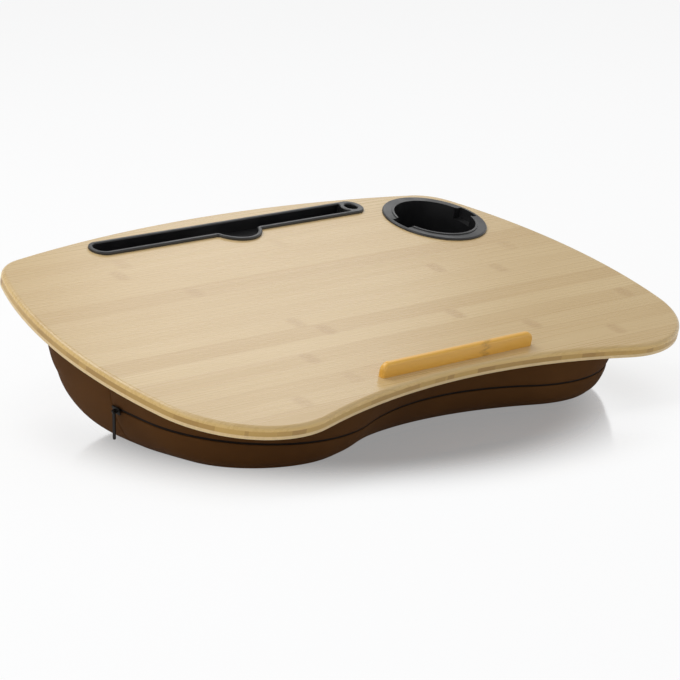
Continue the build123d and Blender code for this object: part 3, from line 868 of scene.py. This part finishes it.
def cover_cloth():
    """Closely woven brown cloth."""
    shape = settings().cushion
    finish = Finish("cover_cloth", 0.8, 0.06)
    place = finish.place()
    across, station, up = finish.split(place)
    threads = math.tau / shape.thread
    warp = finish.math("SINE", finish.math("MULTIPLY", finish.math("ADD", across, station), threads))
    weft = finish.math("SINE", finish.math("MULTIPLY", up, threads))
    weave = finish.math("MULTIPLY_ADD", finish.math("MULTIPLY", warp, weft), 0.5, 0.5)
    weave = finish.math("ADD", weave, finish.noise(place, 1400.0, 3.0, 0.7))
    cloud = finish.level(finish.noise(place, 9.0, 4.0, 0.6), 0.3, 0.7)
    tone = finish.total((cloud, 0.45), (weave, 0.18))
    finish.tint(tone, shape.upper_colour, shape.worn_colour)
    finish.bump(weave, 0.07 * MM, 0.6)
    return finish.material


def plain_cloth(name, first, second, scale):
    """Thin woven cloth for linings and tapes."""
    finish = Finish(name, 0.85, 0.2)
    weave = finish.stretched(finish.place(), (1.0, 1.0, 2.0), scale, 3.0, 0.7)
    finish.tint(weave, first, second)
    finish.bump(weave, 0.05 * MM, 0.5)
    return finish.material


def zip_teeth():
    """Dark plastic, a little rubbed."""
    finish = Finish("zip_teeth", 0.5, 0.1)
    speck = finish.noise(finish.place(), 1200.0)
    finish.tint(speck, settings().zip.colour, settings().zip.rubbed)
    return finish.material


def metal(name, first, second, rough, metallic, specular=0.5):
    """Metal with fine handling marks."""
    finish = Finish(name, rough, specular)
    marks = finish.stretched(finish.place(), (1.0, 1.0, 6.0), 500.0, 4.0, 0.6)
    finish.set("Metallic", metallic)
    finish.tint(marks, first, second)
    finish.set("Roughness", finish.level(marks, 0.2, 0.8, rough - 0.08, rough + 0.1))
    finish.bump(marks, 0.01 * MM, 0.4)
    return finish.material


def pressed_board():
    """Brown pressed fibre board."""
    finish = Finish("pressed_board", 0.7)
    fibre = finish.noise(finish.place(), 900.0, 5.0, 0.7)
    finish.tint(fibre, (0.11, 0.06, 0.03), (0.2, 0.12, 0.06))
    finish.bump(fibre, 0.1 * MM, 0.5)
    return finish.material


def bead_fill():
    """White beads packed close together, with painted shade darkening each bead towards its edge, where it
    meets the next.
    """
    finish = Finish("bead_fill", 0.6)
    cells = finish.add("TexVoronoi", {"Vector": finish.place(), "Scale": 350.0})
    far = cells.outputs["Distance"]
    # painted shade: each bead is tinted darker away from its middle, towards the gaps between beads
    finish.tint(finish.level(far, 0.1, 0.6), (0.85, 0.85, 0.83), (0.6, 0.6, 0.58))
    finish.bump(far, 1.0 * MM, -0.6)
    return finish.material


WHITE = (1.0, 1.0, 1.0)


def pale_floor():
    """A white floor that mirrors the tray near its foot and keeps its shadow."""
    stage = settings().stage
    finish = Finish("pale_floor", stage.mirror_rough)
    far = finish.add("VectorMath", {0: finish.place()}, operation="LENGTH").outputs["Value"]
    near = finish.level(far, stage.mirror_reach, stage.mirror_end, 1.0, 0.0)
    cloud = finish.noise(finish.place(), 3.0, 3.0)
    tone = finish.mix(cloud, stage.floor_colour, lighter(stage.floor_colour, 1.01))
    matt = finish.add("BsdfDiffuse", {"Color": tone})
    gloss = finish.add("BsdfGlossy", {"Color": WHITE, "Roughness": stage.mirror_rough})
    lit = finish.blend(finish.math("MULTIPLY", near, stage.mirror_share), matt, gloss)
    white = finish.add("Emission", {"Color": WHITE, "Strength": 1.0})
    lost = finish.math("MULTIPLY", near, stage.far_white - stage.near_white)
    whiten = finish.math("MULTIPLY", finish.seen_rays(), finish.math("SUBTRACT", stage.far_white, lost))
    both = finish.blend(whiten, lit, white)
    finish.feed(finish.nodes["Material Output"].inputs["Surface"], both.outputs[0])
    return finish.material


def studio_world():
    """Even light all round, and white walls under a darker ceiling where the surroundings are seen."""
    stage = settings().stage
    world = bpy.data.worlds.new("studio")
    world.use_nodes = True
    world.node_tree.nodes.clear()
    work = NodeWork(world.node_tree)
    up = work.split(work.add("TexCoord").outputs["Generated"])["Z"]
    fade = work.level(up, stage.ceiling_start, stage.ceiling_end, 1.0, stage.ceiling)
    soft = work.add("Background", {"Color": stage.sky_colour, "Strength": stage.sky})
    plain = work.add("Background", {"Color": WHITE, "Strength": fade})
    work.add("OutputWorld", {"Surface": work.blend(work.seen_rays(), soft, plain).outputs[0]})
    return world


class LAPTRAY_OT_camera(bpy.types.Operator):
    """Stands the camera at the photograph's view"""
    bl_idname = "laptray.camera"
    bl_label = "Camera"

    def execute(self, context):
        view = settings().camera
        level = math.cos(view.dip)
        ahead = Vector((math.sin(view.turn) * level, math.cos(view.turn) * level, -math.sin(view.dip)))
        camera = add_object("camera", bpy.data.cameras.new("camera"))
        camera.location = view.place
        point_at(camera, ahead)
        camera.data.sensor_width = view.sensor
        camera.data.lens = view.lens
        camera.data.shift_x = view.shift_across
        camera.data.shift_y = view.shift_up
        camera.data.clip_start = 0.1
        camera.data.clip_end = 50.0
        context.scene.camera = camera
        return {"FINISHED"}


class LAPTRAY_OT_stage(bpy.types.Operator):
    """Lays the pale floor and hangs the soft lamps"""
    bl_idname = "laptray.stage"
    bl_label = "Stage"

    def execute(self, context):
        stage = settings().stage
        half = stage.floor_size / 2
        corners = [(-half, -half, 0), (half, -half, 0), (half, half, 0), (-half, half, 0)]
        new_piece("floor", corners, [(0, 1, 2, 3)], pale_floor(), body=None, smooth=False)
        self.lamp("lamp_over", stage.key_place, stage.key_size, stage.key_power)
        self.lamp("lamp_left", stage.side_place, stage.side_size, stage.side_power)
        self.lamp("lamp_sheen", stage.sheen_place, stage.sheen_size, stage.sheen_power)
        context.scene.world = studio_world()
        context.scene.view_settings.view_transform = "Standard"
        return {"FINISHED"}

    @staticmethod
    def lamp(name, place, size, watts):
        light = bpy.data.lights.new(name, "AREA")
        light.shape = "SQUARE"
        light.size = size
        light.energy = watts
        lamp = add_object(name, light)
        lamp.location = place
        point_at(lamp, Vector(settings().stage.aim) - Vector(place))


class LAPTRAY_OT_board(bpy.types.Operator):
    """Gives the three plies and the stop ledge their bamboo"""
    bl_idname = "laptray.board"
    bl_label = "Board and ledge"

    def execute(self, context):
        dress(["top_ply"], bamboo_face())
        dress(["core_ply"], bamboo_core())
        dress(["bottom_ply"], bamboo_under())
        dress(["stop_ledge"], bamboo_ledge())
        return {"FINISHED"}


class LAPTRAY_OT_inserts(bpy.types.Operator):
    """Gives the slot tray, its pen cup and the cup holder their plastic"""
    bl_idname = "laptray.inserts"
    bl_label = "Inserts"

    def execute(self, context):
        dress(["slot_tray", "pen_cup", "cup_holder"], moulded_plastic())
        return {"FINISHED"}


class LAPTRAY_OT_cushion(bpy.types.Operator):
    """Sews the cushion's cover and lets the filling push it out"""
    bl_idname = "laptray.cushion"
    bl_label = "Cushion"

    def execute(self, context):
        thick, insert = settings().cushion.cloth_thick, settings().insert
        cloth = cover_cloth()
        lining = plain_cloth("pocket_cloth", (0.02, 0.017, 0.015), (0.045, 0.038, 0.033), 900.0)
        skin = self.skin(cloth)
        well = cutter("well", insert.pocket_radius, insert.pocket_depth)
        pocket = cutter("cup_pocket_lining", insert.pocket_radius + thick, insert.pocket_depth + thick)
        names = {"upper_band": UPPER, "lower_band": LOWER, "back_band": BACK, "base_panel": BASE}
        pieces = {name: panel_piece(skin, "cushion_" + name, panel, cloth, thick)
                  for name, panel in names.items()}
        carve(pieces["back_band"], pocket, "DIFFERENCE")
        carve(pocket, well, "DIFFERENCE")
        carve(pocket, skin, "INTERSECT")
        pocket.data.materials.clear()
        pocket.data.materials.append(lining)
        for name, piece in pieces.items():
            self.declare(piece, "cover_" + name, "brown_fabric")
        self.declare(pocket, "cup_pocket", "lining_fabric")
        remove(well)
        remove(skin)
        return {"FINISHED"}

    @staticmethod
    def declare(piece, node, slot):
        """Says what a sewn piece rides on and stands for."""
        piece.data.polygons.foreach_set("material_index", [0] * len(piece.data.polygons))
        piece.data.shade_smooth()
        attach(piece, TRAY)
        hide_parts(node)

    @staticmethod
    def skin(cloth):
        """The whole cover as one closed skin, swollen, with each face's panel as its material's number."""
        points = skin_points()
        faces, panels = skin_faces()
        skin = new_piece("cushion_skin", points, faces, cloth, body=None)
        skin.data.polygons.foreach_set("material_index", panels)
        for _ in range(LID):
            skin.data.materials.append(cloth)
        split_wide_faces(skin)
        swell(skin, held_points(len(points)))
        finer = skin.modifiers.new("Finer", "SUBSURF")
        finer.subdivision_type = "CATMULL_CLARK"
        finer.levels = finer.render_levels = 1
        apply_modifiers(skin)
        return skin


class LAPTRAY_OT_zip(bpy.types.Operator):
    """Lays the zip's tapes and teeth round the front of the cushion"""
    bl_idname = "laptray.zip"
    bl_label = "Zip"

    def execute(self, context):
        shape, zip_shape = settings().cushion, settings().zip
        cloth = plain_cloth("zip_tape", zip_shape.colour, zip_shape.rubbed, 1500.0)
        teeth = zip_teeth()
        paint = metal("zip_paint", zip_shape.paint, zip_shape.worn_paint, 0.5, 0.3, 0.2)
        dress(["zip_slider", "zip_pull", "zip_stops"], paint)
        form = CushionForm(shape.inset + shape.seam_depth + zip_shape.depth)
        heights = np.full(len(FRONT), shape.zip_share)
        rise = form.rise(np.full(COLUMNS, shape.zip_share), 1.0)[FRONT]
        reaches = (zip_shape.tape_start, zip_shape.tape * 0.5, zip_shape.tape)
        for name, side in (("upper", 1.0), ("lower", -1.0)):
            rows = [form.row(heights + side * rise * reach, FRONT) for reach in reaches]
            self.tape(name, np.concatenate(rows), side, cloth)
        line = [Vector(point) for point in form.row(heights, FRONT)]
        over = [Vector(point) for point in form.row(heights + rise * MM, FRONT)]
        spots = spaced(line, over, zip_shape.pitch / 2)
        self.teeth("upper", spots[0::2], 1.0, teeth)
        self.teeth("lower", spots[1::2], -1.0, teeth)
        return {"FINISHED"}

    @staticmethod
    def tape(name, points, side, cloth):
        """One woven tape, from its row of points nearest the zip's line to the farthest."""
        count = len(FRONT)
        faces = [(low + index, low + index + 1, low + count + index + 1, low + count + index)
                 for low in (0, count) for index in range(count - 1)]
        if side > 0:
            faces = [tuple(reversed(face)) for face in faces]
        ribbon = new_piece("zip_" + name + "_tape", points, faces, cloth)
        thicken(ribbon, settings().zip.tape_thick)
        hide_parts("zip_tape_" + name)

    @staticmethod
    def teeth(name, spots, side, material):
        """One row of teeth, every second place of the zip's line."""
        zip_shape = settings().zip
        sizes = (zip_shape.tooth, zip_shape.tooth_height, zip_shape.tooth_deep)
        points, faces = [], []
        for place, along, up in spots:
            out = along.cross(up).normalized()
            middle = place + up * (side * zip_shape.tooth_side) + out * zip_shape.tooth_lift
            tooth_at(points, faces, middle, along, up, out, sizes)
        row = new_piece("zip_" + name + "_teeth", points, faces, material)
        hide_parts("zip_coil_" + name)


class LAPTRAY_OT_inside(bpy.types.Operator):
    """Finishes the pieces inside the cushion and the fasteners"""
    bl_idname = "laptray.inside"
    bl_label = "Inside and fasteners"

    def execute(self, context):
        dress(["ledge_screws", "panel_screws", "hem_staples"],
              metal("zinc_plate", (0.5, 0.5, 0.5), (0.62, 0.62, 0.6), 0.35, 1.0))
        dress(["backing_panel"], pressed_board())
        dress(["filling_liner"], plain_cloth("liner_cloth", (0.5, 0.49, 0.46), (0.66, 0.65, 0.62), 700.0))
        dress(["bead_filling"], bead_fill())
        return {"FINISHED"}


class LapTraySettings(bpy.types.PropertyGroup):
    camera: PointerProperty(type=CameraSettings)
    stage: PointerProperty(type=StageSettings)
    board: PointerProperty(type=BoardSettings)
    cushion: PointerProperty(type=CushionSettings)
    zip: PointerProperty(type=ZipSettings)
    insert: PointerProperty(type=InsertSettings)


STEPS = (LAPTRAY_OT_camera, LAPTRAY_OT_stage, LAPTRAY_OT_board, LAPTRAY_OT_inserts, LAPTRAY_OT_cushion,
         LAPTRAY_OT_zip, LAPTRAY_OT_inside)


class LAPTRAY_PT_panel(bpy.types.Panel):
    """Lists the steps that build the lap tray"""
    bl_label = "Lap Tray"
    bl_idname = "LAPTRAY_PT_panel"
    bl_space_type = "VIEW_3D"
    bl_region_type = "UI"
    bl_category = "Lap Tray"

    def draw(self, context):
        column = self.layout.column()
        for step in STEPS:
            column.operator(step.bl_idname)


CLASSES = (CameraSettings, StageSettings, BoardSettings, CushionSettings, ZipSettings, InsertSettings,
           LapTraySettings, *STEPS, LAPTRAY_PT_panel)


def register():
    for item in CLASSES:
        bpy.utils.register_class(item)
    bpy.types.Scene.lap_tray = PointerProperty(type=LapTraySettings)


def unregister():
    del bpy.types.Scene.lap_tray
    for item in reversed(CLASSES):
        bpy.utils.unregister_class(item)


def main():
    register()
    for step in STEPS:
        group, name = step.bl_idname.split(".")
        getattr(getattr(bpy.ops, group), name)()


if __name__ == "__main__":
    main()
